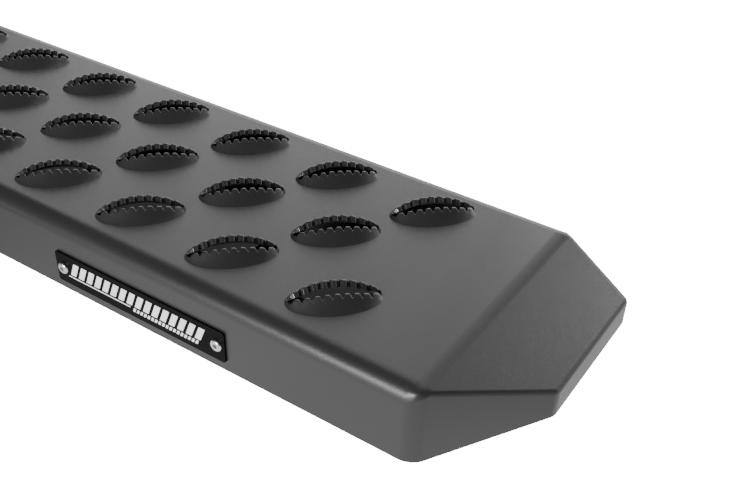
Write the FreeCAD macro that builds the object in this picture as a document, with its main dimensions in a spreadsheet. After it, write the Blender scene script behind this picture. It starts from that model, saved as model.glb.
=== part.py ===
import FreeCAD, Part
import math
import os

import Sketcher

# A vehicle running board: one long formed-steel step with punched, serrated grip cells.
#
# Frame: +X runs along the board towards its front end, -Y is the outer side that carries the
# name plate, +Y is the vehicle side and +Z is up. The origin is midway between the two middle
# studs, level with the end of their full thread, so the board's underside is at z = stud_drop
# and the chamfered stud tips reach a little below z = 0.

doc = FreeCAD.newDocument("running_board")
sizes = doc.addObject("Spreadsheet::Sheet", "Sizes")

# Driving dimensions, in millimetres unless the note says otherwise.
DIMENSIONS = (
    ("board_length", 1960.0, "tip to tip"),
    ("board_width", 165.0, "outer face to vehicle-side face"),
    ("board_height", 46.8, "underside to flat top"),
    ("gauge", 2.0, "shell sheet thickness"),
    ("edge_radius", 6.7, "bend radius of the top edges, outside"),
    ("slope_run", 42.4, "length of each end slope, along X"),
    ("slope_drop", 30.0, "height each end slope falls"),
    ("corner_run", 43.4, "outer corner cut, along X"),
    ("corner_cut", 70.0, "outer corner cut, along Y"),
    ("flange_width", 12.0, "return flange under each long side, from the outside"),
    ("flange_inset", 52.0, "return flange end, from the tip"),
    ("cell_pitch", 66.8, "spacing of grip cells in a row"),
    ("row_spacing", 48.2, "spacing of the three rows"),
    ("outer_row_cells", 27, "count of cells in each outer row"),
    ("cell_angle", 44.0, "degrees, long axis of a cell from +X"),
    ("cell_half_length", 25.4, "foot of a cell, outside"),
    ("cell_half_width", 14.0, "foot of a cell, outside"),
    ("crown_half_length", 18.0, "crown of a cell, outside"),
    ("crown_half_width", 7.6, "crown of a cell, outside"),
    ("cell_wall", 1.8, "wall of a cell, level"),
    ("cell_crown", 8.2, "rim above the plate, at mid cell"),
    ("cell_end_rise", 1.3, "rim above the plate, at the ends of a cell"),
    ("track_length", 1700.0, "slide tracks"),
    ("track_width", 30.0, "slide tracks, outside"),
    ("track_height", 20.0, "slide tracks, outside"),
    ("track_gauge", 2.0, "slide track sheet thickness"),
    ("track_slot", 10.0, "gap between a track's lips"),
    ("track_offset", 45.0, "track centre line from the board's middle"),
    ("rib_gauge", 2.0, "cross rib sheet thickness"),
    ("rib_top_flange", 12.0, "cross rib, welded under the tread"),
    ("rib_foot_flange", 16.0, "cross rib, welded on the tracks"),
    ("rib_length", 150.0, "cross ribs"),
    ("plug_cap", 2.5, "track plug cap thickness"),
    ("plug_depth", 14.0, "track plug, length inside the track"),
    ("plug_gap", 0.3, "track plug, clearance to the track walls"),
    ("stud_drop", 25.0, "full stud thread below the board's underside"),
    ("stud_radius", 4.0, "T-bolt shank"),
    ("thread_radius", 3.9, "T-bolt thread crest below the nut"),
    ("tip_chamfer", 1.0, "T-bolt lead-in, beyond the full thread"),
    ("head_across", 24.6, "T-bolt head, across the track"),
    ("head_along", 15.0, "T-bolt head, along the track"),
    ("head_thick", 5.0, "T-bolt head"),
    ("lip_gap", 0.1, "clearance over and under the track lips"),
    ("washer_radius", 11.0, "plain washer"),
    ("washer_bore", 4.2, "plain washer hole radius"),
    ("washer_thick", 1.6, "plain washer"),
    ("nut_across", 13.0, "hexagon across flats"),
    ("nut_flange", 8.9, "nut flange radius"),
    ("nut_flange_thick", 1.6, "nut flange"),
    ("nut_height", 8.0, "nut with its flange"),
    ("nut_bore", 4.05, "nut hole radius"),
    ("bolt_zone", 590.0, "front and rear T-bolts from the middle, at rest"),
    ("badge_from_tip", 218.0, "badge centre from the front tip"),
    ("badge_middle", 16.4, "badge centre above the underside"),
    ("badge_length", 125.0, "name plate"),
    ("badge_height", 20.0, "name plate"),
    ("badge_thick", 1.2, "name plate"),
    ("badge_corner", 1.5, "name plate corner radius"),
    ("screw_inset", 5.5, "badge screws from the plate's ends"),
    ("screw_head", 3.7, "badge screw head radius"),
    ("screw_head_thick", 1.6, "badge screw head"),
    ("screw_shank", 1.6, "badge screw shank radius"),
    ("screw_length", 7.0, "badge screw under its head"),
    ("screw_hole", 1.75, "badge screw hole radius"),
)
for row, (alias, value, note) in enumerate(DIMENSIONS, 1):
    sizes.set(f"A{row}", note)
    sizes.set(f"B{row}", str(value))
    sizes.setAlias(f"B{row}", alias)
doc.recompute()
size = {alias: float(value) for alias, value, note in DIMENSIONS}

parts = []  # every object that becomes a STEP file


# Helpers ------------------------------------------------------------------------------------


def new_body(label):
    """A PartDesign body whose own z = 0 is the board's underside."""
    body = doc.addObject("PartDesign::Body", label)
    body.Label = label
    body.setExpression("Placement.Base.z", "Sizes.stud_drop")
    return body


def new_sketch(body, name, role, height=None):
    """A sketch on one of the body's own origin planes, lifted along the plane's normal."""
    sketch = body.newObject("Sketcher::SketchObject", f"{body.Name}_{name}")
    plane = next(f for f in body.Origin.OriginFeatures if f.Role == role)
    sketch.AttachmentSupport = (plane, [""])
    sketch.MapMode = "FlatFace"
    if height:
        sketch.setExpression("AttachmentOffset.Base.z", height)
    return sketch


def tie_point(sketch, edge, point, place):
    """Fix a sketch point at the two expressions in place, measured from the sketch's origin."""
    for kind, expression in zip(("DistanceX", "DistanceY"), place):
        index = sketch.addConstraint(Sketcher.Constraint(kind, -1, 1, edge, point, 1.0))
        sketch.setExpression(f"Constraints[{index}]", expression)


def polygon(sketch, corners):
    """A closed outline whose corners are pairs of expressions."""
    first = sketch.GeometryCount
    count = len(corners)
    turn = 2 * math.pi / count
    ring = [FreeCAD.Vector(math.cos(k * turn), math.sin(k * turn), 0) for k in range(count)]
    for k in range(count):
        sketch.addGeometry(Part.LineSegment(ring[k], ring[(k + 1) % count]), False)
    for k in range(count):
        following = first + (k + 1) % count
        sketch.addConstraint(Sketcher.Constraint("Coincident", first + k, 2, following, 1))
    for k, place in enumerate(corners):
        tie_point(sketch, first + k, 1, place)


def circle(sketch, radius, place=("0", "0")):
    """A circle whose radius and centre are expressions."""
    index = sketch.GeometryCount
    sketch.addGeometry(Part.Circle(FreeCAD.Vector(0, 0, 0), FreeCAD.Vector(0, 0, 1), 1), False)
    tie_point(sketch, index, 3, place)
    size_index = sketch.addConstraint(Sketcher.Constraint("Radius", index, 1.0))
    sketch.setExpression(f"Constraints[{size_index}]", radius)


def rectangle(sketch, low, high):
    """A rectangle between two corners, each a pair of expressions."""
    polygon(sketch, (low, (high[0], low[1]), high, (low[0], high[1])))


def pad(body, sketch, length, symmetric=False, reverse=False):
    feature = body.newObject("PartDesign::Pad", f"{sketch.Name}_pad")
    feature.Profile = sketch
    feature.setExpression("Length", length)
    feature.Midplane = symmetric
    feature.Reversed = reverse
    doc.recompute()
    return feature


def pocket_through(body, sketch):
    """Cut a sketch right through the body, both ways, and check that it took something away."""
    before = body.Shape.Volume
    feature = body.newObject("PartDesign::Pocket", f"{sketch.Name}_pocket")
    feature.Profile = sketch
    feature.Type = "ThroughAll"
    feature.Midplane = True
    doc.recompute()
    if body.Shape.Volume >= before:
        raise RuntimeError(f"{feature.Name} removed nothing")
    return feature


def edge_names(shape, wanted):
    return [f"Edge{k}" for k, edge in enumerate(shape.Edges, 1) if wanted(edge)]


def dress(body, kind, name, wanted, prop, amount):
    """Add a fillet or chamfer to the edges of the body's last feature that wanted() picks."""
    base = body.Tip
    names = edge_names(base.Shape, wanted)
    feature = body.newObject(kind, name)
    feature.Base = (base, names)
    feature.setExpression(prop, amount)
    doc.recompute()
    return feature


def keep(thing):
    """List an object as a sub-part of the board."""
    parts.append(thing)
    return thing


# Tread shell --------------------------------------------------------------------------------


def shell_blank():
    """The folded sheet before punching: flat top, two skirts, end slopes and cut outer corners."""
    body = new_body("shell_blank")
    outline = new_sketch(body, "outline", "XY_Plane")
    tip = "Sizes.board_length / 2"
    side = "Sizes.board_width / 2"
    cut_x = f"{tip} - Sizes.corner_run"
    cut_y = f"-{side} + Sizes.corner_cut"
    polygon(
        outline,
        (
            (tip, side),
            (f"-{tip}", side),
            (f"-{tip}", cut_y),
            (f"-({cut_x})", f"-{side}"),
            (cut_x, f"-{side}"),
            (tip, cut_y),
        ),
    )
    pad(body, outline, "Sizes.board_height")

    slopes = new_sketch(body, "slopes", "XZ_Plane")
    crease = f"{tip} - Sizes.slope_run"
    beyond = f"{tip} + Sizes.slope_run"
    top = "Sizes.board_height"
    low = "Sizes.board_height - 2 * Sizes.slope_drop"
    polygon(slopes, ((crease, top), (beyond, top), (beyond, low)))
    polygon(slopes, ((f"-({crease})", top), (f"-({beyond})", low), (f"-({beyond})", top)))
    pocket_through(body, slopes)

    def bend(edge):
        """The creases and the top edges all round. The underside and upright corners stay."""
        return edge.BoundBox.ZMin > size["gauge"]

    bends = dress(
        body, "PartDesign::Fillet", "shell_blank_bends", bend, "Radius", "Sizes.edge_radius"
    )

    faces = bends.Shape.Faces
    below = [f"Face{k}" for k, face in enumerate(faces, 1) if face.BoundBox.ZMax < 1e-6]
    skin = body.newObject("PartDesign::Thickness", "shell_blank_skin")
    skin.Base = (bends, below)
    skin.setExpression("Value", "Sizes.gauge")
    skin.Reversed = True
    doc.recompute()

    flanges = new_sketch(body, "flanges", "XY_Plane")
    reach = "Sizes.board_length / 2 - Sizes.flange_inset"
    outside = f"{side} - Sizes.gauge / 2"
    inside = f"{side} - Sizes.flange_width"
    rectangle(flanges, (f"-({reach})", f"-({outside})"), (reach, f"-({inside})"))
    rectangle(flanges, (f"-({reach})", inside), (reach, outside))
    pad(body, flanges, "Sizes.gauge")

    holes = new_sketch(body, "screw_holes", "XZ_Plane")
    for place in badge_screw_places():
        circle(holes, "Sizes.screw_hole", place)
    feature = body.newObject("PartDesign::Pocket", "screw_holes_pocket")
    feature.Profile = holes
    feature.Type = "Length"
    feature.setExpression("Length", "Sizes.board_width")
    feature.Reversed = True
    doc.recompute()
    return body


def badge_screw_places():
    """Both badge screws on the board's XZ plane, as expressions."""
    middle = "Sizes.board_length / 2 - Sizes.badge_from_tip"
    reach = "(Sizes.badge_length / 2 - Sizes.screw_inset)"
    return (
        (f"{middle} - {reach}", "Sizes.badge_middle"),
        (f"{middle} + {reach}", "Sizes.badge_middle"),
    )


def cone_of_ellipses(foot, crown, low, high):
    """A solid that narrows evenly from one ellipse at z = 0 to another at the crown."""
    rise = size["cell_crown"]
    wires = []
    for z in (low, high):
        share = z / rise
        half_length = foot[0] + (crown[0] - foot[0]) * share
        half_width = foot[1] + (crown[1] - foot[1]) * share
        ellipse = Part.Ellipse(FreeCAD.Vector(0, 0, z), half_length, half_width)
        wires.append(Part.Wire([ellipse.toShape()]))
    return Part.makeLoft(wires, True, True)


def rim_arch():
    """The cylinder across a cell whose top gives the rim its arched line."""
    rise = size["cell_crown"] - size["cell_end_rise"]
    half = size["cell_half_length"] - size["cell_wall"]
    radius = (half * half + rise * rise) / (2 * rise)
    start = FreeCAD.Vector(0, -2 * size["cell_half_width"], size["cell_crown"] - radius)
    across = FreeCAD.Vector(0, 1, 0)
    return Part.makeCylinder(radius, 4 * size["cell_half_width"], start, across)


def cell_wall_and_void():
    """One grip cell along X: its raised outside up to the tooth tips, and its opening."""
    foot = (size["cell_half_length"], size["cell_half_width"])
    crown = (size["crown_half_length"], size["crown_half_width"])
    wall = size["cell_wall"]
    sunk = -size["gauge"] / 2
    raised = cone_of_ellipses(foot, crown, sunk, size["cell_crown"]).common(rim_arch())
    inner_foot = (foot[0] - wall, foot[1] - wall)
    inner_crown = (crown[0] - wall, crown[1] - wall)
    void = cone_of_ellipses(inner_foot, inner_crown, -2 * size["gauge"], size["cell_crown"] + 1)
    return raised, void


def cell_places():
    """Centres of all grip cells: two full outer rows and a staggered middle row."""
    full = int(size["outer_row_cells"])
    rows = ((-1, full), (0, full - 1), (1, full))
    return [
        ((k - (count - 1) / 2) * size["cell_pitch"], side * size["row_spacing"])
        for side, count in rows
        for k in range(count)
    ]


def tread_shell(blank):
    """The blank with its grip cells raised and pierced. Formed cells have no simple feature."""
    raised, void = cell_wall_and_void()
    placements = [
        FreeCAD.Placement(
            FreeCAD.Vector(x, y, size["board_height"]),
            FreeCAD.Rotation(FreeCAD.Vector(0, 0, 1), size["cell_angle"]),
        )
        for x, y in cell_places()
    ]
    shape = blank.Tip.Shape.copy()
    shape.Placement = FreeCAD.Placement()
    shape = shape.fuse([raised.transformed(place.toMatrix()) for place in placements])
    shape = shape.cut([void.transformed(place.toMatrix()) for place in placements])
    shell = doc.addObject("Part::Feature", "tread_shell")
    shell.Label = "tread_shell"
    shell.Shape = shape.Solids[0] if len(shape.Solids) == 1 else shape
    shell.Placement = FreeCAD.Placement(
        FreeCAD.Vector(0, 0, size["stud_drop"]), FreeCAD.Rotation()
    )
    return keep(shell)


# Underside ----------------------------------------------------------------------------------


def slide_track(label, side):
    """A lipped channel, open downwards, that holds the T-bolt heads."""
    body = new_body(label)
    section = new_sketch(body, "section", "YZ_Plane")
    half = "Sizes.track_width / 2"
    inner = f"({half} - Sizes.track_gauge)"
    slot = "Sizes.track_slot / 2"
    top = "Sizes.track_height"
    roof = "(Sizes.track_height - Sizes.track_gauge)"
    lip = "Sizes.track_gauge"
    polygon(
        section,
        (
            (slot, "0"),
            (half, "0"),
            (half, top),
            (f"-{half}", top),
            (f"-{half}", "0"),
            (f"-{slot}", "0"),
            (f"-{slot}", lip),
            (f"-{inner}", lip),
            (f"-{inner}", roof),
            (inner, roof),
            (inner, lip),
            (slot, lip),
        ),
    )
    pad(body, section, "Sizes.track_length", symmetric=True)
    body.setExpression("Placement.Base.y", f"{side} * Sizes.track_offset")
    return keep(body)


def cross_rib(label, pitches, facing):
    """A pressed C-section that carries the tread and holds both tracks square to it."""
    body = new_body(label)
    section = new_sketch(body, "section", "XZ_Plane")
    foot = "Sizes.track_height"
    top = "Sizes.board_height - Sizes.gauge"
    web = "Sizes.rib_gauge"
    polygon(
        section,
        (
            ("0", foot),
            (f"{facing} * Sizes.rib_foot_flange", foot),
            (f"{facing} * Sizes.rib_foot_flange", f"{foot} + {web}"),
            (f"{facing} * {web}", f"{foot} + {web}"),
            (f"{facing} * {web}", f"{top} - {web}"),
            (f"{facing} * Sizes.rib_top_flange", f"{top} - {web}"),
            (f"{facing} * Sizes.rib_top_flange", top),
            ("0", top),
        ),
    )
    pad(body, section, "Sizes.rib_length", symmetric=True)
    body.setExpression("Placement.Base.x", f"{pitches} * Sizes.cell_pitch")
    return keep(body)


def track_plug(label, side, end):
    """A moulded plug that closes a track's end and stops the T-bolts sliding out."""
    body = new_body(label)
    half = "Sizes.track_width / 2"
    mouth = f"{end} * Sizes.track_length / 2"
    cap = new_sketch(body, "cap", "YZ_Plane", height=mouth)
    rectangle(cap, (f"-{half}", "0"), (half, "Sizes.track_height"))
    pad(body, cap, "Sizes.plug_cap", reverse=end < 0)
    block = new_sketch(body, "block", "YZ_Plane", height=mouth)
    inner = f"({half} - Sizes.track_gauge - Sizes.plug_gap)"
    low = "Sizes.track_gauge + Sizes.plug_gap"
    high = "Sizes.track_height - Sizes.track_gauge - Sizes.plug_gap"
    rectangle(block, (f"-{inner}", low), (inner, high))
    pad(body, block, "Sizes.plug_depth", reverse=end > 0)
    body.setExpression("Placement.Base.y", f"{side} * Sizes.track_offset")
    return keep(body)


# Fastenings ---------------------------------------------------------------------------------


def place_in_track(thing, side, zone):
    thing.setExpression("Placement.Base.x", f"{zone} * Sizes.bolt_zone")
    thing.setExpression("Placement.Base.y", f"{side} * Sizes.track_offset")


def t_bolt(label, side, zone):
    """A T-head bolt hanging in a track, with its stud pointing down."""
    body = new_body(label)
    seat = "Sizes.track_gauge + Sizes.lip_gap"
    head = new_sketch(body, "head", "XY_Plane", height=seat)
    long_half = "Sizes.head_across / 2"
    short_half = "Sizes.head_along / 2"
    rectangle(head, (f"-{short_half}", f"-{long_half}"), (short_half, long_half))
    pad(body, head, "Sizes.head_thick")
    shank = new_sketch(body, "shank", "XY_Plane", height=seat)
    circle(shank, "Sizes.stud_radius")
    nut_stack = "Sizes.lip_gap + Sizes.washer_thick + Sizes.nut_height"
    pad(body, shank, f"{seat} + {nut_stack}", reverse=True)
    thread = new_sketch(body, "thread", "XY_Plane", height=f"-({nut_stack})")
    circle(thread, "Sizes.thread_radius")
    pad(body, thread, f"Sizes.stud_drop + Sizes.tip_chamfer - ({nut_stack})", reverse=True)
    lowest = -size["stud_drop"] - size["tip_chamfer"]

    def lead_in(edge):
        return edge.BoundBox.ZMax < lowest + 1e-3

    dress(body, "PartDesign::Chamfer", f"{label}_tip", lead_in, "Size", "Sizes.tip_chamfer")
    place_in_track(body, side, zone)
    return keep(body)


def washer(label, side, zone):
    """A plain washer under the track lips."""
    body = new_body(label)
    ring = new_sketch(body, "ring", "XY_Plane", height="-Sizes.lip_gap")
    circle(ring, "Sizes.washer_radius")
    circle(ring, "Sizes.washer_bore")
    pad(body, ring, "Sizes.washer_thick", reverse=True)
    place_in_track(body, side, zone)
    return keep(body)


def flange_nut(label, side, zone):
    """A hexagon nut with a round flange towards the washer."""
    body = new_body(label)
    seat = "-(Sizes.lip_gap + Sizes.washer_thick)"
    flange = new_sketch(body, "flange", "XY_Plane", height=seat)
    circle(flange, "Sizes.nut_flange")
    circle(flange, "Sizes.nut_bore")
    pad(body, flange, "Sizes.nut_flange_thick", reverse=True)
    hexagon = new_sketch(body, "hexagon", "XY_Plane", height=seat)
    corners = [
        (
            f"Sizes.nut_across / sqrt(3) * cos({60 * k} deg)",
            f"Sizes.nut_across / sqrt(3) * sin({60 * k} deg)",
        )
        for k in range(6)
    ]
    polygon(hexagon, corners)
    circle(hexagon, "Sizes.nut_bore")
    pad(body, hexagon, "Sizes.nut_height", reverse=True)
    place_in_track(body, side, zone)
    return keep(body)


# Name plate ---------------------------------------------------------------------------------


def badge_plate():
    """A thin plate with rounded corners on the outer skirt. It carries no wording."""
    body = new_body("badge_plate")
    face = new_sketch(body, "face", "XZ_Plane", height="Sizes.board_width / 2")
    middle = "(Sizes.board_length / 2 - Sizes.badge_from_tip)"
    half = "Sizes.badge_length / 2"
    tall = "Sizes.badge_height / 2"
    rectangle(
        face,
        (f"{middle} - {half}", f"Sizes.badge_middle - {tall}"),
        (f"{middle} + {half}", f"Sizes.badge_middle + {tall}"),
    )
    for place in badge_screw_places():
        circle(face, "Sizes.screw_hole", place)
    pad(body, face, "Sizes.badge_thick")

    def corner(edge):
        box = edge.BoundBox
        return box.XLength < 1e-6 and box.ZLength < 1e-6

    rounds = "badge_plate_rounds"
    dress(body, "PartDesign::Fillet", rounds, corner, "Radius", "Sizes.badge_corner")
    return keep(body)


def badge_screws():
    """Two dome-headed screws through the badge and the skirt, as one group."""
    screws = []
    middle = size["board_length"] / 2 - size["badge_from_tip"]
    reach = size["badge_length"] / 2 - size["screw_inset"]
    inward = FreeCAD.Vector(0, 1, 0)
    outer = -size["board_width"] / 2 - size["badge_thick"]
    for x in (middle - reach, middle + reach):
        seat = FreeCAD.Vector(x, outer, size["badge_middle"] + size["stud_drop"])
        head = Part.makeCylinder(size["screw_head"], size["screw_head_thick"], seat, -inward)
        rim = [edge for edge in head.Edges if edge.BoundBox.YMax < outer - 1e-3]
        head = head.makeFillet(size["screw_head_thick"] * 0.6, rim)
        shank = Part.makeCylinder(size["screw_shank"], size["screw_length"], seat, inward)
        screws.append(head.fuse(shank).removeSplitter())
    group = doc.addObject("Part::Feature", "badge_screws")
    group.Label = "badge_screws"
    group.Shape = Part.makeCompound(screws)
    group.Placement = FreeCAD.Placement()
    return keep(group)


# Assembly -----------------------------------------------------------------------------------

SIDES = (("outer", -1), ("inner", 1))
ZONES = (("front", 1), ("middle", 0), ("rear", -1))
# Ribs stand between columns of cells, a quarter pitch past an even number of pitches.
RIB_PITCHES = (2.25, 6.25, 10.25, 12.25)

tread_shell(shell_blank())
for side_name, side in SIDES:
    slide_track(f"track_{side_name}", side)
    for end_name, end in (("front", 1), ("rear", -1)):
        track_plug(f"track_plug_{side_name}_{end_name}", side, end)
for number, pitches in enumerate(RIB_PITCHES, 1):
    cross_rib(f"cross_rib_front_{number}", pitches, -1)
    cross_rib(f"cross_rib_rear_{number}", -pitches, 1)
for side_name, side in SIDES:
    for zone_name, zone in ZONES:
        t_bolt(f"t_bolt_{side_name}_{zone_name}", side, zone)
        washer(f"washer_{side_name}_{zone_name}", side, zone)
        flange_nut(f"flange_nut_{side_name}_{zone_name}", side, zone)
badge_plate()
badge_screws()
doc.recompute()

for thing in doc.Objects:
    if "Invalid" in thing.State or "Error" in thing.State:
        raise RuntimeError(f"{thing.Label} failed: {thing.State}")
for thing in parts:
    if thing.Shape.isNull() or not thing.Shape.isValid():
        raise RuntimeError(f"{thing.Label} has no valid shape")

os.makedirs("parts", exist_ok=True)
for thing in parts:
    thing.Shape.exportStep(f"parts/{thing.Label}.step")
    print(thing.Label, len(thing.Shape.Solids), round(thing.Shape.Volume, 1))
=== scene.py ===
import math

import bmesh
import bpy
from mathutils import Matrix, Vector
from mathutils.geometry import tessellate_polygon


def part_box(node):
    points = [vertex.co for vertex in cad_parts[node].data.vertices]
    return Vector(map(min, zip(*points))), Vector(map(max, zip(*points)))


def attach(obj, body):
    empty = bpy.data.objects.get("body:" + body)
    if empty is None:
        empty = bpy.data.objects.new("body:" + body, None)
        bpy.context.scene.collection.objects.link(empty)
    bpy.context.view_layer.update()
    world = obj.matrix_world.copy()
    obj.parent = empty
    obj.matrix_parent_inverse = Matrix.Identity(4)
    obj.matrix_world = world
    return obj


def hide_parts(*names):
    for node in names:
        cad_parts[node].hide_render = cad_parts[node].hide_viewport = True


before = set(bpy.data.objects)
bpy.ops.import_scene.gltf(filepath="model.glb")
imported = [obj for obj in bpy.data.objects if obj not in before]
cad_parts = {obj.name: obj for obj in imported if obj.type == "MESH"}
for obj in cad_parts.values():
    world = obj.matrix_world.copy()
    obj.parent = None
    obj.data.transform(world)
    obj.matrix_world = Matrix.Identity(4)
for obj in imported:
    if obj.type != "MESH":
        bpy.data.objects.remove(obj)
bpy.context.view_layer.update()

# The running board's visual model. A finer shell with toothed grip cells stands for the CAD tread
# shell, the badge gets its print and screws, and the other CAD nodes keep their shapes.

MM = 0.001

# Sizes, in metres ----------------------------------------------------------------------------

shell_low, shell_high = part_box("tread_shell")
badge_low, badge_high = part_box("badge_plate")

TIP_X = shell_high.x
SIDE_Y = shell_high.y
UNDER_Z = shell_low.z
CROWN = 8.2 * MM
TOP_Z = shell_high.z - CROWN
GAUGE = 2.0 * MM
SLOPE_RUN = 42.4 * MM
SLOPE_DROP = 30.0 * MM
CORNER_CUT = 70.0 * MM
CREASE_X = TIP_X - SLOPE_RUN

FLANGE_WIDTH = 12.0 * MM
FLANGE_END_GAP = 52 * MM
FLANGE_EDGE_RADIUS = 0.5 * MM

# Outside radii of the shell's bends.
EDGE_RADIUS = 10.0 * MM
CREASE_RADIUS = 14 * MM
FACET_TOP_RADIUS = 3.5 * MM
TIP_TOP_RADIUS = 5 * MM
SLOPE_SIDE_RADIUS = 6.7 * MM
OUTER_UPRIGHT_RADIUS = 12 * MM
TIP_UPRIGHT_RADIUS = 9 * MM
INNER_UPRIGHT_RADIUS = 5 * MM
BEND_SEGMENTS = 8

PITCH = 66.8 * MM
ROW_SPACING = 48.2 * MM
OUTER_ROW_CELLS = 27
CELL_ANGLE = math.radians(44.0)
# Half the length and half the width of a cell's foot and of the slot in its crown.
FOOT = (25.2 * MM, 13.8 * MM)
SLOT = (23.4 * MM, 6.0 * MM)
SLOT_END_RISE = 3.0 * MM
SLOT_MID_RISE = 8.1 * MM
DOME_CURVE = 1.12
# How far up the dome, as a share of its run, each ring of points lies.
DOME_SHARES = (0.0, 0.08, 0.3, 0.6)
# The dome's inner face: how far up a point on it lies, and how deep below the outer skin.
INNER_SHARE, INNER_DEPTH = 0.5, 3.2 * MM
INNER_FOOT_SHARE = 0.08

TEETH = 9
TOOTH_PITCH = 5.0 * MM
TOOTH_SHIFT = 0.6 * MM
NOTCH_FLAT = 0.3 * MM
NOTCH_DEPTH = 2.1 * MM
NOTCH_LEAN = math.radians(60)
SHOULDER = 0.8 * MM
SHOULDER_STEPS = 3
END_COLUMN = 0.4 * MM
COLUMN_GAP = 0.1 * MM
# The rim's rolled edge and cut face, in mm: depth below the outer skin, then distance uphill.
RIM_ROLL = ((0.0, -0.9), (0.08, -0.5), (0.26, -0.2), (0.55, -0.04), (0.9, 0.0), (3.8, 0.0))

# The badge's print: its insets from the two ends, then heights from the badge's middle.
PRINT_INSET_REAR, PRINT_INSET_FRONT = 11.0 * MM, 16.0 * MM
TALL_BARS = (-2.4 * MM, 6.4 * MM)
SMALL_BARS = (-6.2 * MM, -3.7 * MM)
RULE = (-4.4 * MM, -3.7 * MM)
PRINT_SLANT = 0.42
PRINT_SUNK, PRINT_PROUD = 0.05 * MM, 0.12 * MM

SCREW_INSET = 5.5 * MM
SCREW_SIDES = 36
SCREW_RADIUS, SCREW_RISE = 3.7 * MM, 1.55 * MM
# The screw head's outline, as shares of its radius and of its rise.
SCREW_OUTLINE = ((1.0, 0.0), (1.0, 0.3), (0.95, 0.62), (0.82, 0.88), (0.66, 1.0))
SOCKET_REACH, SOCKET_FLOOR = 1.35 * MM, 0.35

WELD_DISTANCE = 0.001 * MM

# Mesh helpers --------------------------------------------------------------------------------


def new_object(name, points, faces):
    mesh = bpy.data.meshes.new(name)
    mesh.from_pydata([tuple(p) for p in points], [], faces)
    mesh.validate()
    thing = bpy.data.objects.new(name, mesh)
    bpy.context.scene.collection.objects.link(thing)
    return thing


def add_box(points, faces, corners):
    """Add a box: four corners round one face, clockwise from outside, then the four opposite."""
    start = len(points)
    points.extend(corners)
    quads = ((0, 3, 2, 1), (4, 5, 6, 7), (0, 1, 5, 4), (1, 2, 6, 5), (2, 3, 7, 6), (3, 0, 4, 7))
    faces.extend(tuple(start + k for k in quad) for quad in quads)


def modifier(thing, kind, **settings):
    made = thing.modifiers.new(kind.title().replace("_", " "), kind)
    for key, value in settings.items():
        setattr(made, key, value)
    return made


def apply_modifiers(thing):
    """Bake every modifier into the mesh."""
    bpy.context.view_layer.update()
    graph = bpy.context.evaluated_depsgraph_get()
    baked = bpy.data.meshes.new_from_object(thing.evaluated_get(graph))
    thing.modifiers.clear()
    thing.data = baked
    return thing


def smooth(thing, angle=35.0):
    """Smooth shading that keeps edges sharper than the angle, and keeps large faces flat."""
    for face in thing.data.polygons:
        face.use_smooth = True
    thing.data.set_sharp_from_angle(angle=math.radians(angle))
    modifier(thing, "WEIGHTED_NORMAL", keep_sharp=True, weight=100)
    return apply_modifiers(thing)


# Materials -----------------------------------------------------------------------------------


def new_material(name, color, roughness, metallic=0.0):
    material = bpy.data.materials.new(name)
    material.use_nodes = True
    shader = material.node_tree.nodes["Principled BSDF"]
    shader.inputs["Base Color"].default_value = (*color, 1.0)
    shader.inputs["Roughness"].default_value = roughness
    shader.inputs["Metallic"].default_value = metallic
    return material, shader


def add_node(owner, kind, **values):
    """A node in a material or the world, with these input values or settings."""
    node = owner.node_tree.nodes.new(kind)
    for key, value in values.items():
        if key in node.inputs:
            node.inputs[key].default_value = value
        else:
            setattr(node, key, value)
    return node


def link(owner, output, node, to_socket):
    owner.node_tree.links.new(output, node.inputs[to_socket])


def feed(owner, term, node, to_socket):
    """Set an input to a number, or link an output to it."""
    if isinstance(term, float):
        node.inputs[to_socket].default_value = term
    else:
        link(owner, term, node, to_socket)


def place(owner):
    """The place on the object, in metres."""
    return add_node(owner, "ShaderNodeTexCoord").outputs["Object"]


def noise(owner, where, scale, detail=2.0, roughness=0.5):
    node = add_node(owner, "ShaderNodeTexNoise", Scale=scale, Detail=detail, Roughness=roughness)
    link(owner, where, node, "Vector")
    return node.outputs["Fac"]


def ramp(owner, value, low, high, start=0.3, end=0.7, **settings):
    """A number that runs from low to high as the value runs from start to end."""
    node = add_node(owner, "ShaderNodeMapRange", **settings)
    for name, number in (("From Min", start), ("From Max", end), ("To Min", low), ("To Max", high)):
        node.inputs[name].default_value = number
    link(owner, value, node, "Value")
    return node.outputs["Result"]


def calculate(owner, operation, *terms):
    """The result of a Math node on these terms, each an output or a number."""
    node = add_node(owner, "ShaderNodeMath", operation=operation)
    for k, term in enumerate(terms):
        feed(owner, term, node, k)
    return node.outputs[0]


def grey(level):
    return (level, level, level)


def mix_colors(owner, factor, first, second):
    node = add_node(owner, "ShaderNodeMix", data_type="RGBA")
    node.inputs["A"].default_value = (*first, 1.0)
    node.inputs["B"].default_value = (*second, 1.0)
    link(owner, factor, node, "Factor")
    return node.outputs["Result"]


def bump(owner, height, shader, strength, distance):
    node = add_node(owner, "ShaderNodeBump", Strength=strength, Distance=distance)
    link(owner, height, node, "Height")
    link(owner, node.outputs["Normal"], shader, "Normal")


def powder_coat(name, rough, level):
    """Satin black powder coat: a fine pebbled skin with faint broad unevenness."""
    material, shader = new_material(name, (0.021, 0.021, 0.0215), rough)
    shader.inputs["Specular IOR Level"].default_value = level
    where = place(material)
    pebbles = noise(material, where, 850.0, 4.0, 0.7)
    broad = noise(material, where, 9.0, 3.0)
    color = mix_colors(material, broad, (0.018, 0.018, 0.0185), (0.024, 0.024, 0.0245))
    link(material, color, shader, "Base Color")
    link(material, ramp(material, broad, rough * 0.93, rough * 1.07), shader, "Roughness")
    bump(material, pebbles, shader, 0.55, 0.11 * MM)
    return material


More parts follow.
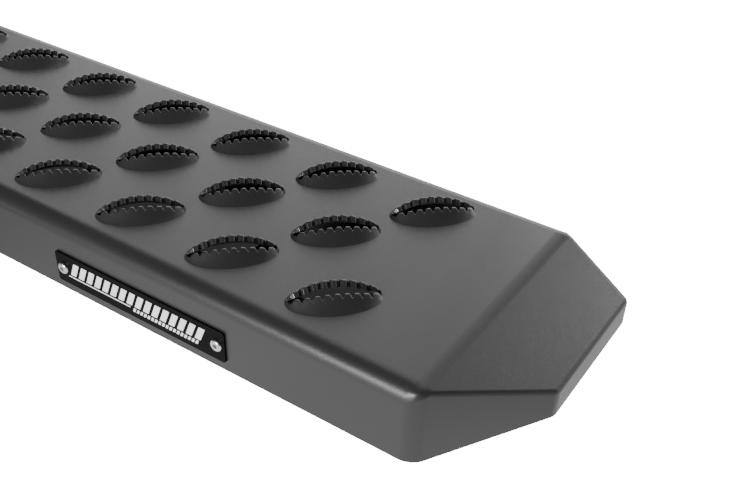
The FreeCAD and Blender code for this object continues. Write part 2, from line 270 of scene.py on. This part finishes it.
def badge_black():
    """Black anodised plate: very dark, with a fine grain."""
    material, shader = new_material("badge_black", grey(0.004), 0.35)
    shader.inputs["Specular IOR Level"].default_value = 0.03
    grain = noise(material, place(material), 2600.0)
    link(material, ramp(material, grain, 0.30, 0.40), shader, "Roughness")
    bump(material, grain, shader, 0.08, 0.1 * MM)
    return material


def print_white():
    """White screen print with slightly uneven cover."""
    material, shader = new_material("print_white", grey(0.92), 0.45)
    patches = noise(material, place(material), 700.0)
    link(material, mix_colors(material, patches, grey(0.90), grey(0.95)), shader, "Base Color")
    return material


def bright_steel(name, color, rough, scale):
    """Bare or plated metal with patchy gloss and colour."""
    material, shader = new_material(name, color, rough, 1.0)
    wear = noise(material, place(material), scale, 4.0)
    link(material, ramp(material, wear, rough * 0.75, rough * 1.3), shader, "Roughness")
    worn = tuple(c * 0.88 for c in color)
    link(material, mix_colors(material, wear, worn, color), shader, "Base Color")
    bump(material, wear, shader, 0.05, 0.1 * MM)
    return material


def moulded_nylon():
    """Black moulded plastic with a fine grain."""
    material, shader = new_material("moulded_nylon", grey(0.012), 0.55)
    grain = noise(material, place(material), 1800.0)
    link(material, ramp(material, grain, 0.50, 0.62), shader, "Roughness")
    bump(material, grain, shader, 0.2, 0.1 * MM)
    return material


def cover(thing, material):
    thing.data.materials.clear()
    thing.data.materials.append(material)


coat = powder_coat("powder_coat", 0.34, 0.5)
edge_coat = powder_coat("powder_coat_cut_edge", 0.26, 1.0)
badge_material = badge_black()
white = print_white()
screw_steel = bright_steel("screw_steel", (0.75, 0.75, 0.76), 0.22, 900.0)
zinc = bright_steel("zinc_plate", (0.60, 0.61, 0.63), 0.34, 500.0)
nylon = moulded_nylon()

# Tread shell ---------------------------------------------------------------------------------


def bevel_offset(angle, radius):
    """How far a bend of this outside radius reaches from a corner that turns by angle."""
    return radius * math.tan(angle / 2)


def shell_skin():
    """The folded sheet without its grip cells, as one surface with rounded bends."""
    cut_y = -SIDE_Y + CORNER_CUT
    tip_z = TOP_Z - SLOPE_DROP
    right = (
        (CREASE_X, -SIDE_Y, TOP_Z), (TIP_X, cut_y, tip_z), (TIP_X, SIDE_Y, tip_z),
        (CREASE_X, SIDE_Y, TOP_Z), (CREASE_X, -SIDE_Y, UNDER_Z), (TIP_X, cut_y, UNDER_Z),
        (TIP_X, SIDE_Y, UNDER_Z), (CREASE_X, SIDE_Y, UNDER_Z),
    )
    points = list(right) + [(-x, y, z) for x, y, z in right]
    faces = [
        (0, 3, 11, 8),                                  # flat top
        (0, 1, 2, 3), (8, 11, 10, 9),                   # end slopes
        (0, 8, 12, 4), (3, 7, 15, 11),                  # outer and vehicle-side skirts
        (0, 4, 5, 1), (8, 9, 13, 12),                   # corner facets
        (1, 5, 6, 2), (9, 10, 14, 13),                  # tip faces
        (2, 6, 7, 3), (10, 11, 15, 14),                 # skirts under the slopes
    ]
    skin = new_object("shell_skin", points, faces)
    slope = math.atan2(SLOPE_DROP, SLOPE_RUN)
    corner = math.atan2(CORNER_CUT, SLOPE_RUN)
    facet_normal = Vector((math.sin(corner), -math.cos(corner), 0))
    slope_normal = Vector((math.sin(slope), 0, math.cos(slope)))
    right_angle = math.pi / 2
    bends = {
        (0, 8): (right_angle, EDGE_RADIUS), (3, 11): (right_angle, EDGE_RADIUS),
        (0, 3): (slope, CREASE_RADIUS),
        (0, 1): (facet_normal.angle(slope_normal), FACET_TOP_RADIUS),
        (1, 2): (right_angle - slope, TIP_TOP_RADIUS),
        (2, 3): (right_angle, SLOPE_SIDE_RADIUS),
        (0, 4): (corner, OUTER_UPRIGHT_RADIUS), (1, 5): (right_angle - corner, TIP_UPRIGHT_RADIUS),
        (2, 6): (right_angle, INNER_UPRIGHT_RADIUS),
    }
    mirrored = {k + len(right): k for k in range(len(right))}
    weights = skin.data.attributes.new("bevel_weight_edge", "FLOAT", "EDGE")
    for edge in skin.data.edges:
        key = tuple(sorted(edge.vertices))
        if key not in bends:
            key = tuple(sorted(mirrored.get(v, v) for v in key))
        if key in bends:
            weights.data[edge.index].value = bevel_offset(*bends[key]) / EDGE_RADIUS
    modifier(
        skin, "BEVEL", width=EDGE_RADIUS, segments=BEND_SEGMENTS, limit_method="WEIGHT",
        offset_type="OFFSET", miter_outer="MITER_SHARP",
    )
    return apply_modifiers(skin)


def open_flat_top(skin, half_x, half_y):
    """Swap the skin's flat top for a frame round a rectangular opening for the cell rows."""
    build = bmesh.new()
    build.from_mesh(skin.data)
    top = max(build.faces, key=lambda face: face.calc_area())
    outer = list(top.verts)
    corners = ((-half_x, -half_y), (half_x, -half_y), (half_x, half_y), (-half_x, half_y))
    inner = [build.verts.new((x, y, TOP_Z)) for x, y in corners]
    build.faces.remove(top)
    ring = outer + inner
    outlines = [[v.co for v in outer], [v.co for v in inner]]
    for triple in tessellate_polygon(outlines):
        face = build.faces.new([ring[k] for k in triple])
        face.normal_update()
        if face.normal.z < 0:
            face.normal_flip()
    build.to_mesh(skin.data)
    build.free()


def notch_half():
    """Half a notch: how far from its middle, and how deep, from the bottom to the tooth face."""
    angles = [NOTCH_LEAN * k / SHOULDER_STEPS for k in range(SHOULDER_STEPS, -1, -1)]
    shoulder = [(SHOULDER * math.sin(angle), SHOULDER * (1 - math.cos(angle))) for angle in angles]
    reach, top_depth = shoulder[0]
    run = (NOTCH_DEPTH - top_depth) / math.tan(NOTCH_LEAN)
    edge = NOTCH_FLAT / 2 + run + reach
    return [(NOTCH_FLAT / 2, 1.0)] + [(edge - x, depth / NOTCH_DEPTH) for x, depth in shoulder]


def rim_columns():
    """Distances along a cell, end to end, each with its share of the depth of a notch."""
    end = SLOT[0]
    columns = [(-end, 1.0), (-end + END_COLUMN, 1.0), (end - END_COLUMN, 1.0), (end, 1.0)]
    for k in range(TEETH + 1):
        notch = TOOTH_SHIFT + (k - TEETH / 2) * TOOTH_PITCH
        for away, depth in notch_half():
            if k > 0:
                columns.append((notch - away, depth))
            if k < TEETH:
                columns.append((notch + away, depth))
        if k < TEETH:
            columns.append((notch + TOOTH_PITCH / 2, 0.0))
    columns = sorted(c for c in columns if abs(c[0]) <= end)
    return [c for k, c in enumerate(columns) if k == 0 or c[0] - columns[k - 1][0] > COLUMN_GAP]


def cell_surface():
    """One grip cell about its own middle.

    Returns its points, its faces, its upper and lower foot rings, and which faces are cut edge.
    """
    columns = rim_columns()
    # Once round: the near side from -u to +u, then the far side back again.
    trip = [(u, -1, depth) for u, depth in columns]
    trip += [(u, 1, depth) for u, depth in reversed(columns[1:-1])]
    count = len(trip)
    rings = []

    def add_ring(make):
        rings.append([make(*column) for column in trip])

    def on_dome(u, side, share, deep=0.0, on=0.0):
        """A point on the outer skin, or this deep below it, moved on along the slope."""
        across = math.sqrt(max(0.0, 1 - (u / SLOT[0]) ** 2))
        foot = Vector((u * FOOT[0] / SLOT[0], side * FOOT[1] * across, 0))
        tip = Vector((u, side * SLOT[1] * across, 0))
        run = (tip - foot).length
        inward = (tip - foot) / run
        rise = SLOT_END_RISE + (SLOT_MID_RISE - SLOT_END_RISE) * across ** 2
        plan = foot.lerp(tip, share)
        spot = Vector((plan.x, plan.y, rise * share ** DOME_CURVE))
        uphill = (inward * run + Vector((0, 0, rise * DOME_CURVE))).normalized()
        into = Vector((inward.x * uphill.z, inward.y * uphill.z, -math.hypot(uphill.x, uphill.y)))
        # The sheet thins towards the cell's ends, where the two sides meet.
        return spot + uphill * on + into * (deep * min(1.0, 1.5 * across))

    for share in DOME_SHARES:
        add_ring(lambda u, side, depth: on_dome(u, side, share))
    for deep, on in RIM_ROLL:
        add_ring(
            lambda u, side, depth: on_dome(u, side, 1.0, deep * MM, on * MM - depth * NOTCH_DEPTH)
        )
    add_ring(lambda u, side, depth: on_dome(u, side, INNER_SHARE, INNER_DEPTH))
    add_ring(lambda u, side, depth: on_dome(u, side, INNER_FOOT_SHARE) + Vector((0, 0, -GAUGE)))
    faces = []
    for row in range(len(rings) - 1):
        for k in range(count):
            a, b = row * count + k, row * count + (k + 1) % count
            faces.append((a, b, b + count, a + count))
    last = (len(rings) - 1) * count
    points = [p for ring in rings for p in ring]
    dome_rings = len(DOME_SHARES)
    cut_faces = range(dome_rings * count, (dome_rings + len(RIM_ROLL) - 1) * count)
    return points, faces, list(range(count)), list(range(last, last + count)), cut_faces


def cell_tile():
    """A grip cell, turned, in its own rectangle of flat plate: points, faces and cut faces."""
    points, faces, upper, lower, cut_faces = cell_surface()
    turn = Matrix.Rotation(CELL_ANGLE, 3, "Z")
    points = [turn @ p for p in points]
    for foot, z in ((upper, 0.0), (lower, -GAUGE)):
        first = len(points)
        for side_x, side_y in ((-1, -1), (1, -1), (1, 1), (-1, 1)):
            points.append(Vector((side_x * PITCH / 2, side_y * ROW_SPACING / 2, z)))
        ring = [first + k for k in range(4)] + foot
        outlines = [[points[k] for k in ring[:4]], [points[k] for k in foot]]
        for triple in tessellate_polygon(outlines):
            a, b, c = (ring[k] for k in triple)
            faces_up = (points[b] - points[a]).cross(points[c] - points[a]).z > 0
            faces.append((a, b, c) if faces_up == (foot is upper) else (a, c, b))
    return points, faces, cut_faces


def blank_plates(side, count):
    """The plain plate at both ends of a row that is shorter than the longest row."""
    points, faces = [], []
    full = OUTER_ROW_CELLS * PITCH / 2
    blank = full - count * PITCH / 2
    low, high = (side - 0.5) * ROW_SPACING, (side + 0.5) * ROW_SPACING
    if blank > MM:
        for end in (-1, 1):
            near, far = sorted((end * (full - blank), end * full))
            start = len(points)
            for z in (TOP_Z, TOP_Z - GAUGE):
                points += [(near, low, z), (far, low, z), (far, high, z), (near, high, z)]
            faces += [tuple(start + k for k in quad) for quad in ((0, 1, 2, 3), (7, 6, 5, 4))]
    return points, faces


def cell_row(name, side, count, tile):
    """A strip of the tread: one row of grip cells, at the outer, middle or inner place."""
    tile_points, tile_faces, cut_faces = tile
    points, faces, cut = [], [], []
    for k in range(count):
        shift = Vector(((k - (count - 1) / 2) * PITCH, side * ROW_SPACING, TOP_Z))
        start = len(points)
        cut += [len(faces) + face for face in cut_faces]
        points += [p + shift for p in tile_points]
        faces += [tuple(start + v for v in face) for face in tile_faces]
    plate_points, plate_faces = blank_plates(side, count)
    start = len(points)
    points += plate_points
    faces += [tuple(start + v for v in face) for face in plate_faces]
    strip = new_object(name, points, faces)
    strip.data.materials.append(coat)
    strip.data.materials.append(edge_coat)
    for k in cut:
        strip.data.polygons[k].material_index = 1
    build = bmesh.new()
    build.from_mesh(strip.data)
    bmesh.ops.remove_doubles(build, verts=build.verts, dist=WELD_DISTANCE)
    build.to_mesh(strip.data)
    build.free()
    return strip


def thicken(thing, thickness):
    modifier(thing, "SOLIDIFY", thickness=thickness, offset=-1.0, use_even_offset=False)
    return apply_modifiers(thing)


def return_flanges():
    """The narrow lips folded inwards under both long sides."""
    points, faces = [], []
    reach = TIP_X - FLANGE_END_GAP
    for side in (-1, 1):
        low, high = sorted((side * (SIDE_Y - GAUGE * 0.5), side * (SIDE_Y - FLANGE_WIDTH)))
        plan = ((-reach, low), (reach, low), (reach, high), (-reach, high))
        add_box(points, faces, [(x, y, z) for z in (UNDER_Z, UNDER_Z + GAUGE) for x, y in plan])
    lips = new_object("return_flanges", points, faces)
    modifier(lips, "BEVEL", width=FLANGE_EDGE_RADIUS, segments=2)
    return apply_modifiers(lips)


skin = shell_skin()
open_flat_top(skin, OUTER_ROW_CELLS * PITCH / 2, 1.5 * ROW_SPACING)
thicken(skin, GAUGE)
flanges = return_flanges()
tile = cell_tile()
rows = [
    cell_row("tread_cells_outer", -1, OUTER_ROW_CELLS, tile),
    cell_row("tread_cells_middle", 0, OUTER_ROW_CELLS - 1, tile),
    cell_row("tread_cells_inner", 1, OUTER_ROW_CELLS, tile),
]
for piece in [skin, flanges] + rows:
    smooth(piece)
    if piece not in rows:
        cover(piece, coat)
    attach(piece, "board")
    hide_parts("tread_shell")

# Badge ---------------------------------------------------------------------------------------


def badge_graphic():
    """Plain rows of slanted white bars and a thin rule: no lettering and no mark."""
    points, faces = [], []
    middle_z = (badge_low.z + badge_high.z) / 2
    left, right = badge_low.x + PRINT_INSET_REAR, badge_high.x - PRINT_INSET_FRONT

    def bar(x0, x1, heights):
        z0, z1 = (middle_z + height for height in heights)
        shift = PRINT_SLANT * (z1 - z0)
        outline = ((x0, z0), (x1, z0), (x1 + shift, z1), (x0 + shift, z1))
        depths = (badge_low.y + PRINT_SUNK, badge_low.y - PRINT_PROUD)
        add_box(points, faces, [(x, y, z) for y in depths for x, z in outline])

    def bars(count, x0, x1, filled, heights):
        step = (x1 - x0) / count
        for k in range(count):
            bar(x0 + k * step, x0 + (k + filled) * step, heights)

    bars(16, left, right + 1.5 * MM, 0.66, TALL_BARS)
    bar(left - 2 * MM, left + 46 * MM, RULE)
    bars(18, left + 48 * MM, right - 2 * MM, 0.62, SMALL_BARS)
    return new_object("badge_graphic", points, faces)


def socket_screw(name, middle):
    """A dome-headed screw with a hexagon socket, its head towards -Y."""
    sides = SCREW_SIDES
    points, faces = [], []

    def ring(radius_at, rise):
        for k in range(sides):
            angle = 2 * math.pi * k / sides
            radius = radius_at(angle)
            x, z = radius * math.cos(angle), radius * math.sin(angle)
            points.append(Vector((x, -SCREW_RISE * rise, z)))

    def hexagon(angle):
        return SOCKET_REACH / math.cos((angle + math.pi / 6) % (math.pi / 3) - math.pi / 6)

    for share, rise in SCREW_OUTLINE:
        ring(lambda angle: SCREW_RADIUS * share, rise)
    ring(hexagon, 1.0)
    ring(hexagon, SOCKET_FLOOR)
    rings = len(SCREW_OUTLINE) + 2
    for row in range(rings - 1):
        for k in range(sides):
            a, b = row * sides + k, row * sides + (k + 1) % sides
            faces.append((a, b, b + sides, a + sides))
    faces.append(tuple((rings - 1) * sides + k for k in range(sides)))
    faces.append(tuple(reversed(range(sides))))
    return new_object(name, [p + middle for p in points], faces)


graphic = badge_graphic()
cover(graphic, white)
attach(graphic, "board")

screw_z = (badge_low.z + badge_high.z) / 2
for name, x in (("rear", badge_low.x + SCREW_INSET), ("front", badge_high.x - SCREW_INSET)):
    screw = socket_screw(f"badge_screw_{name}", Vector((x, badge_low.y, screw_z)))
    smooth(screw, angle=40.0)
    cover(screw, screw_steel)
    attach(screw, "board")
    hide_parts("badge_screws")

# CAD nodes -----------------------------------------------------------------------------------

FINISHES = {
    "badge_plate": badge_material, "track_plug": nylon, "track": coat, "cross_rib": coat,
    "t_bolt": zinc, "washer": zinc, "flange_nut": zinc,
}
for node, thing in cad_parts.items():
    for start, material in FINISHES.items():
        if node.startswith(start):
            for slot in thing.material_slots:
                slot.material = material
            break

# Floor, lights and camera --------------------------------------------------------------------

# The two fills light the object; the glow is what the camera sees of the floor and the sky.
FLOOR_FILL = 1.15
SKY_FILL = 0.10
STAGE_GLOW = 18.0
FLOOR_HALF = 20.0
# The floor's own colour, then a darker colour painted in as shadow under the board.
FLOOR_COLOR, PAINTED_SHADOW_COLOR = 0.28, 0.06
# How the floor's fill varies along the board: place on the span, then share of the fill.
FALL_START, FALL_END = TIP_X - 1.00, TIP_X + 0.06
FLOOR_FALL = ((0.19, 0.9), (0.36, 0.12), (0.472, 0.10), (0.736, 0.95), (0.947, 1.0), (1.0, 0.5))
# The painted shadow under the board, drawn by a mask and not cast: its least share, then middle,
# inner half-size and outer half-size.
SHADE_SHARE = 0.0009
SHADE_SPANS = (("X", 0.0, TIP_X - 0.13, TIP_X - 0.09), ("Y", 0.030, 0.060, 0.085))

# Name, direction, distance, width, height, radiance, spread in degrees.
SOFTBOXES = (
    ("back_low", (-0.15, 0.95, 0.20), 3.0, 6.0, 1.3, 2.5, 180.0),
    ("back_high", (-0.42, 0.72, 0.60), 2.6, 3.3, 1.6, 1.65, 180.0),
    ("overhead", (-0.04, 0.34, 0.94), 2.6, 2.6, 1.5, 1.9, 180.0),
    ("back_right", (0.55, 0.62, 0.56), 2.6, 1.6, 1.6, 1.2, 180.0),
    ("side_right", (0.50, 0.84, 0.20), 2.6, 0.35, 0.7, 6.0, 180.0),
    ("side_low", (0.74, 0.66, 0.08), 2.6, 0.9, 0.4, 1.6, 180.0),
    ("front_strip", (-0.12, -0.96, 0.20), 2.0, 0.95, 0.6, 5.0, 70.0),
)
LIGHT_AIM = Vector((TIP_X - 0.15, 0, TOP_Z))

VIEW_TURN = math.radians(32.5)
VIEW_RISE = math.radians(35.66)
VIEW_ROLL = math.radians(2.06)
VIEW_SPOT = Vector((TIP_X + 112.2 * MM, -SIDE_Y - 280.6 * MM, TOP_Z + 308.5 * MM))
VIEW_LENS = 47.1


def stage_level(owner, fill):
    """The full glow for rays from the camera, and the fill for all others."""
    seen = add_node(owner, "ShaderNodeLightPath").outputs["Is Camera Ray"]
    level = add_node(owner, "ShaderNodeMapRange")
    feed(owner, fill, level, "To Min")
    feed(owner, STAGE_GLOW, level, "To Max")
    link(owner, seen, level, "Value")
    return level.outputs["Result"]


def floor_fill(material, x):
    """The floor's fill light, which varies along the board."""
    along = ramp(material, x, 0.0, 1.0, FALL_START, FALL_END)
    fall = add_node(material, "ShaderNodeValToRGB")
    stops = fall.color_ramp.elements
    for k, (spot, share) in enumerate(FLOOR_FALL):
        # A new ramp already has two stops.
        stop = stops[k] if k < 2 else stops.new(spot)
        stop.position = spot
        stop.color = (*grey(share), 1)
    link(material, along, fall, "Fac")
    return calculate(material, "MULTIPLY", fall.outputs["Color"], FLOOR_FILL)


def painted_floor_shadow(material, apart):
    """A painted shadow on the floor: the share of light left, almost none under the board and all
    outside it.
    """
    shares = []
    for axis, middle, inner, outer in SHADE_SPANS:
        offset = calculate(material, "SUBTRACT", apart.outputs[axis], middle)
        size = calculate(material, "ABSOLUTE", offset)
        shares.append(
            ramp(material, size, SHADE_SHARE, 1.0, inner, outer, interpolation_type="SMOOTHSTEP")
        )
    return calculate(material, "MAXIMUM", *shares)


def add_floor():
    """A white floor that reads evenly white, with a shadow painted dark under the board."""
    far = FLOOR_HALF
    corners = [(-far, -far, 0), (far, -far, 0), (far, far, 0), (-far, far, 0)]
    floor = new_object("floor", corners, [(0, 1, 2, 3)])
    material = bpy.data.materials.new("floor_white")
    material.use_nodes = True
    material.node_tree.nodes.clear()
    apart = add_node(material, "ShaderNodeSeparateXYZ")
    link(material, place(material), apart, "Vector")
    # Painted shadow: a mask that darkens the floor's glow, fill light and colour under the board.
    shade = painted_floor_shadow(material, apart)
    level = stage_level(material, floor_fill(material, apart.outputs["X"]))
    glow = add_node(material, "ShaderNodeEmission")
    link(material, calculate(material, "MULTIPLY", level, shade), glow, "Strength")
    diffuse = add_node(material, "ShaderNodeBsdfDiffuse")
    # The floor's colour is painted dark in the shadow under the board.
    color = mix_colors(material, shade, grey(PAINTED_SHADOW_COLOR), grey(FLOOR_COLOR))
    link(material, color, diffuse, "Color")
    both = add_node(material, "ShaderNodeAddShader")
    link(material, diffuse.outputs["BSDF"], both, 0)
    link(material, glow.outputs["Emission"], both, 1)
    out = add_node(material, "ShaderNodeOutputMaterial")
    link(material, both.outputs["Shader"], out, "Surface")
    cover(floor, material)


def add_sky():
    """A pale backdrop that sends only a little light."""
    world = bpy.data.worlds.new("studio")
    world.use_nodes = True
    background = world.node_tree.nodes["Background"]
    background.inputs["Color"].default_value = (1, 1, 1, 1)
    link(world, stage_level(world, SKY_FILL), background, "Strength")
    bpy.context.scene.world = world


def softbox(name, toward, distance, width, height, radiance, spread):
    """A rectangular light that faces the front end of the board from this direction."""
    light = bpy.data.lights.new(name, "AREA")
    light.shape = "RECTANGLE"
    light.size, light.size_y = width, height
    light.energy = math.pi * width * height * radiance
    light.spread = math.radians(spread)
    thing = bpy.data.objects.new(name, light)
    direction = Vector(toward).normalized()
    thing.location = LIGHT_AIM + direction * distance
    thing.rotation_euler = direction.to_track_quat("Z", "Y").to_euler()
    bpy.context.scene.collection.objects.link(thing)


def add_camera():
    data = bpy.data.cameras.new("camera")
    data.sensor_width = 36.0
    data.lens = VIEW_LENS
    camera = bpy.data.objects.new("camera", data)
    forward = Vector((
        -math.sin(VIEW_TURN) * math.cos(VIEW_RISE),
        math.cos(VIEW_TURN) * math.cos(VIEW_RISE),
        -math.sin(VIEW_RISE),
    ))
    level = Vector((math.cos(VIEW_TURN), math.sin(VIEW_TURN), 0))
    right = level * math.cos(VIEW_ROLL) + level.cross(forward) * math.sin(VIEW_ROLL)
    up = right.cross(forward)
    turn = Matrix((right, up, -forward)).transposed()
    camera.matrix_world = Matrix.Translation(VIEW_SPOT) @ turn.to_4x4()
    bpy.context.scene.collection.objects.link(camera)
    bpy.context.scene.camera = camera


add_floor()
for box in SOFTBOXES:
    softbox(*box)
add_sky()
add_camera()
